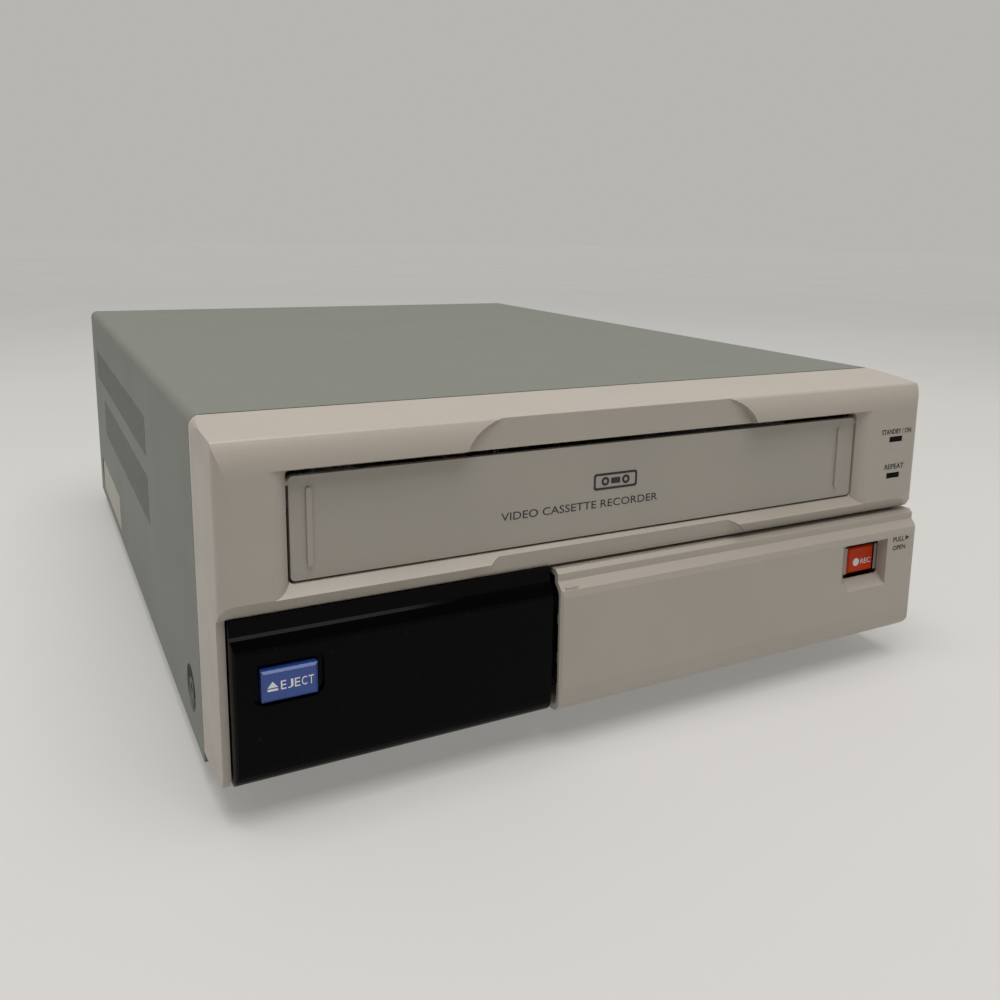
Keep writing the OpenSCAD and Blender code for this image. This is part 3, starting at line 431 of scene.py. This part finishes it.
def ring(bm, outer, inner, axis, start, end):
    """A closed band between two outlines with the same number of points."""
    rows = [[bm.verts.new(spot(axis, a, b, c)) for a, b in outline]
            for outline, c in ((outer, start), (outer, end), (inner, end), (inner, start))]
    count = len(outer)
    for k in range(4):
        for i in range(count):
            j = (i + 1) % count
            bm.faces.new((rows[k][i], rows[k][j], rows[(k + 1) % 4][j], rows[(k + 1) % 4][i]))


def lettering(name, words, box, y, slot, body, look="print_dark", behind=False, weight=0.0):
    """Printed words fitted into box = (x0, x1, z0, z1) on a plane facing the front, or the back."""
    x0, x1, z0, z1 = box
    curve = bpy.data.curves.new(name, "FONT")
    curve.body = words
    curve.size = 1
    curve.extrude = 0.01
    curve.offset = weight
    curve.resolution_u = 3
    source = bpy.data.objects.new(name + "_source", curve)
    bpy.context.scene.collection.objects.link(source)
    bpy.context.view_layer.update()
    mesh = bpy.data.meshes.new_from_object(source.evaluated_get(bpy.context.evaluated_depsgraph_get()))
    bpy.data.objects.remove(source)
    low = [min(v.co[i] for v in mesh.vertices) for i in (0, 1)]
    high = [max(v.co[i] for v in mesh.vertices) for i in (0, 1)]
    facing = -1 if behind else 1
    for vert in mesh.vertices:
        across = (vert.co.x - low[0]) / (high[0] - low[0])
        x = x0 + across * (x1 - x0) if not behind else x1 - across * (x1 - x0)
        z = z0 + (vert.co.y - low[1]) / (high[1] - low[1]) * (z1 - z0)
        vert.co = place(x, y - facing * (0.02 + vert.co.z * 4), z)
    mesh.name = name
    obj = bpy.data.objects.new(name, mesh)
    bpy.context.scene.collection.objects.link(obj)
    return adopt(obj, slot, body, look)


def cassette_symbol(bm):
    """A cassette seen from above: its outline, two hubs and the window between them."""
    x, z = -5.6, TOP - 24.3
    ring(bm, rounded(x - 7.6, x + 7.6, z - 2.5, z + 2.5, 0.9),
         rounded(x - 6.9, x + 6.9, z - 1.8, z + 1.8, 0.5), "y", *inked(FLAP_FACE))
    for side in (-3.6, 3.6):
        ring(bm, disc(x + side, z, 1.35), disc(x + side, z, 0.6), "y", *inked(FLAP_FACE))
    prism(bm, rounded(x - 1.6, x + 1.6, z - 0.9, z + 0.9, 0.2), "y", *inked(FLAP_FACE))


def pull_arrow(bm):
    """A triangle that points to the door's free end."""
    x, z = 115.4, TOP - 57.5
    prism(bm, [(x, z - 0.9), (x + 1.8, z), (x, z + 0.9)], "y", *inked(DOOR_FACE))


def eject_symbol(bm):
    """A triangle over a bar."""
    x0, x1, z = -109.5, -106.9, TOP - 65.9
    prism(bm, [(x0, z + 0.9), (x1, z + 0.9), ((x0 + x1) / 2, z + 2.5)], "y", *inked(EJECT_FACE))
    prism(bm, oblong(x0, x1, z, z + 0.55), "y", *inked(EJECT_FACE))


def rec_cheeks(bm):
    """Light cheeks on both sides of the REC key, behind the door's window."""
    x, z = 98.7, TOP - 64.5
    for side in (-7.7, 7.7):
        prism(bm, rounded(x + side - 1.08, x + side + 1.08, z - 4.7, z + 4.7, 0.15, 2), "y", 2.8, 2.95)


def front_prints():
    """The generic words and symbols on the front."""
    lettering("flap_words", "VIDEO CASSETTE RECORDER", (-43.2, 9.7, TOP - 32.1, TOP - 29.8), FLAP_FACE,
              "flap_plastic", "flap")
    mesh_piece("flap_symbol", cassette_symbol, "flap_plastic", "flap", "print_dark")
    for name, words, x0, x1, drop, face, body in (
            ("standby_words", "STANDBY / ON", 101.1, 115.4, 19.3, BEZEL_FACE, "case"),
            ("repeat_words", "REPEAT", 103.8, 113.2, 31.9, BEZEL_FACE, "case"),
            ("pull_words", "PULL", 109.2, 114.8, 58.5, DOOR_FACE, "door"),
            ("open_words", "OPEN", 109.2, 115.6, 61.6, DOOR_FACE, "door")):
        lettering(name, words, (x0, x1, TOP - drop, TOP - drop + 1.8), face, "bezel_plastic", body,
                  weight=0.012)
    mesh_piece("pull_arrow", pull_arrow, "bezel_plastic", "door", "print_dark")
    for i, letter in enumerate("EJECT"):
        x = -106.2 + 1.74 * i
        lettering("eject_letter_%d" % (i + 1), letter, (x, x + 1.36, TOP - 65.9, TOP - 63.6), EJECT_FACE,
                  "blue_plastic", "eject_key", "print_white")
    mesh_piece("eject_symbol", eject_symbol, "blue_plastic", "eject_key", "print_white")
    lettering("rec_words", "REC", (98.7, 103.6, TOP - 66.3, TOP - 64.4), REC_FACE,
              "orange_plastic", "rec_key", "print_white")
    mesh_piece("rec_dot", lambda bm: prism(bm, disc(96.5, TOP - 65.3, 1.45), "y", *inked(REC_FACE)),
               "orange_plastic", "rec_key", "print_white")
    mesh_piece("rec_cheeks", rec_cheeks, "flap_plastic", "case")


KEYS = {
    "rewind": (-9, 41, [[(-3.2, 0), (-0.4, 1.7), (-0.4, -1.7)], [(0, 0), (2.8, 1.7), (2.8, -1.7)]]),
    "play": (19, 41, [[(2.6, 0), (-1.8, 2.1), (-1.8, -2.1)]]),
    "forward": (47, 41, [[(3.2, 0), (0.4, 1.7), (0.4, -1.7)], [(0, 0), (-2.8, 1.7), (-2.8, -1.7)]]),
    "stop": (-9, 25, [oblong(-1.6, 1.6, -1.6, 1.6)]),
    "pause": (19, 25, [oblong(-1.9, -0.6, -1.8, 1.8), oblong(0.6, 1.9, -1.8, 1.8)]),
}


def key_symbols():
    """Transport symbols on the keys behind the door, and a caption over each."""
    for name, (x, z, polygons) in KEYS.items():

        def build(bm, polygons=polygons, x=x, z=z):
            for polygon in polygons:
                prism(bm, [(x + a, z + b) for a, b in polygon], "y", *inked(KEY_FACE))
        half = len(name) * 0.85
        mesh_piece(name + "_symbol", build, "key_plastic", name + "_key", "print_white")
        lettering(name + "_words", name.upper(), (x - half, x + half, z + 5.4, z + 7.1), PANEL_FACE,
                  "dark_plastic", "case", "print_white")


VIDEO_X = (-90, -62)
AUDIO_X = (-34, -14)
JACK_Z = 34
REAR_WORDS = (
    ("video_in_words", "VIDEO IN", -90, 46, 8), ("video_out_words", "VIDEO OUT", -62, 46, 9),
    ("audio_in_words", "AUDIO IN", -34, 44, 7.4), ("audio_out_words", "AUDIO OUT", -14, 44, 8),
    ("alarm_words", "ALARM TERMINALS", 38, 47, 15), ("dc_in_words", "DC IN", 88, 46, 5))
TERMINALS = 8
TERMINAL_X = 18.5
TERMINAL_STEP = 5.5
TERMINAL_Z = 38


def rear_details():
    """Words, numbers and coloured inserts on the rear panel."""
    for name, words, x, z, half in REAR_WORDS:
        lettering(name, words, (x - half, x + half, z, z + 2.3), BACK_FACE, "zinc_steel", "case", behind=True)
    for i in range(TERMINALS):
        x = TERMINAL_X + TERMINAL_STEP * i
        number = TERMINALS - i
        lettering("terminal_number_%d" % number, str(number), (x - 0.6, x + 0.6, 22.6, 24.8), BACK_FACE,
                  "zinc_steel", "case", behind=True)

    def inserts(bm):
        for x in AUDIO_X:
            ring(bm, disc(x, JACK_Z, 4.05), disc(x, JACK_Z, 1.7), "y", 345.2, 345.7)
    mesh_piece("audio_jack_inserts", inserts, "gear_acetal", "case", "insert_white")

    def cores(bm):
        for x in VIDEO_X:
            prism(bm, disc(x, JACK_Z, 2.2), "y", 341.9, 342.4)
    mesh_piece("video_jack_cores", cores, "gear_acetal", "case", "insert_white")

    def pins(bm):
        for x in VIDEO_X:
            prism(bm, disc(x, JACK_Z, 0.6, 12), "y", 342.2, 346.5)
    mesh_piece("video_jack_pins", pins, "bearing_brass", "case")

    def clamps(bm):
        for i in range(TERMINALS):
            x = TERMINAL_X + TERMINAL_STEP * i
            turns = [math.pi + 2 * math.pi * k / 16 for k in range(1, 16)]
            slit = [(x - 1.1, TERMINAL_Z - 0.25)]
            slit += [(x + 1.1 * math.cos(a), TERMINAL_Z + 0.5 * math.sin(a)) for a in turns]
            ring(bm, disc(x, TERMINAL_Z, 1.7, 16), slit, "y", 338.9, 339.5)
    mesh_piece("terminal_clamps", clamps, "screw_steel", "case")


# x, y, width and depth of each chip on the main board
CHIPS = ((-80, 276, 22, 8), (-60, 296, 14, 10), (-98, 304, 10, 18), (30, 312, 18, 7), (36, 284, 12, 12),
         (-2, 312, 10, 5))
# x, z, width and height of a digit's seven bars
DIGIT_BARS = ((0, 0, 3, 0.5), (0, 3, 3, 0.5), (0, 6, 3, 0.5), (0, 0.4, 0.5, 2.7), (2.5, 0.4, 0.5, 2.7),
              (0, 3.4, 0.5, 2.7), (2.5, 3.4, 0.5, 2.7))


def board_parts():
    """Chips, resistors and connectors on the boards inside, and the display's digits."""
    rng = random.Random(7)

    def chips(bm):
        for x, y, width, depth in CHIPS:
            prism(bm, oblong(x, x + width, y, y + depth), "z", BOARD_TOP, 24.6)
    mesh_piece("board_chips", chips, "dark_plastic", "case")

    def resistors(bm):
        for k in range(34):
            x = rng.uniform(-104, 50)
            y = rng.uniform(244, 250) if k % 2 else rng.uniform(264, 270)
            prism(bm, rounded(x, x + 4.6, y, y + 1.6, 0.5, 3), "z", BOARD_TOP, 23)
    mesh_piece("board_resistors", resistors, "gear_acetal", "case", "resistor_body")

    def sockets(bm):
        for x in (-70, -20, 30):
            ring(bm, rounded(x - 8, x + 8, 243.2, 248.4, 0.3, 2),
                 rounded(x - 7, x + 7, 244.2, 247.4, 0.2, 2), "z", BOARD_TOP, 29)
    mesh_piece("board_sockets", sockets, "gear_acetal", "case")

    def digits(bm):
        for group in range(6):
            for a, b, width, height in DIGIT_BARS:
                x, z = -74 + 6 * group + a, 30 + b
                prism(bm, oblong(x, x + width, z, z + height), "y", 9.9, 10.02)
    mesh_piece("display_digits", digits, "display_glass", "case", "phosphor")


# ---------------------------------------------------------------- stage
TABLE_SIZE = 14
FADE_NEAR = 0.6
FADE_FAR = 2.2


def make_table():
    """A pale table that fades into the background with distance."""
    bpy.ops.mesh.primitive_plane_add(size=TABLE_SIZE, location=(0, 0, 0))
    floor = bpy.context.object
    floor.name = "table"
    n = Nodes("table")
    far = n.add("ShaderNodeVectorMath", operation="LENGTH")
    n.join(n.coords, far.inputs[0])
    fade = n.scalar(far.outputs["Value"], 0, 1, at=(FADE_NEAR, FADE_FAR))
    near = n.ramp(n.noise(2.2, 4), (0.42, 0.414, 0.408, 1), (0.44, 0.435, 0.43, 1))
    n.join(n.mix(fade, near, (0.02, 0.02, 0.02, 1)), n.shader.inputs["Base Color"])
    n.shader.inputs["Emission Color"].default_value = (0.88, 0.865, 0.83, 1)
    n.join(n.scalar(fade, 0.23, 0.45, at=(0, 1)), n.shader.inputs["Emission Strength"])
    n.join(n.scalar(n.noise(6, 3), 0.5, 0.56), n.shader.inputs["Roughness"])
    n.shader.inputs["Specular IOR Level"].default_value = 0.3
    floor.data.materials.append(n.material)


def make_sky():
    """A soft warm grey surround, brighter behind the object than in front of it."""
    sky = bpy.data.worlds.new("world")
    bpy.context.scene.world = sky
    sky.use_nodes = True
    tree = sky.node_tree
    coords = tree.nodes.new("ShaderNodeTexCoord")
    parts = tree.nodes.new("ShaderNodeSeparateXYZ")
    tree.links.new(coords.outputs["Generated"], parts.inputs[0])
    depth = tree.nodes.new("ShaderNodeMapRange")
    depth.inputs["From Min"].default_value = -0.7
    depth.inputs["From Max"].default_value = 0.5
    depth.inputs["To Min"].default_value = 0.19
    depth.inputs["To Max"].default_value = 0.54
    tree.links.new(parts.outputs["Y"], depth.inputs["Value"])
    background = tree.nodes["Background"]
    background.inputs["Color"].default_value = (0.88, 0.86, 0.81, 1)
    tree.links.new(depth.outputs["Result"], background.inputs["Strength"])


def make_lights():
    """A large soft lamp above and in front, and a smaller one that draws the edges."""
    soft_light("overhead", (-0.05, -0.55, 1.85), (0.0, -0.1, 0), 1.5, 28, (1.0, 0.98, 0.95))
    soft_light("tube", (-0.25, -0.1, 1.6), (0.0, 0.0, 0), 0.35, 3.0, (1.0, 0.98, 0.95))


def soft_light(name, spot, target, size, power, colour):
    """A square lamp at one spot that faces another."""
    data = bpy.data.lights.new(name, "AREA")
    data.shape = "SQUARE"
    data.size = size
    data.energy = power
    data.color = colour
    light = bpy.data.objects.new(name, data)
    bpy.context.scene.collection.objects.link(light)
    light.location = spot
    light.rotation_euler = (Vector(target) - Vector(spot)).to_track_quat("-Z", "Y").to_euler()


make_camera()
dress_nodes()
front_prints()
key_symbols()
rear_details()
board_parts()
make_table()
make_sky()
make_lights()
bpy.context.scene.view_settings.view_transform = "Standard"
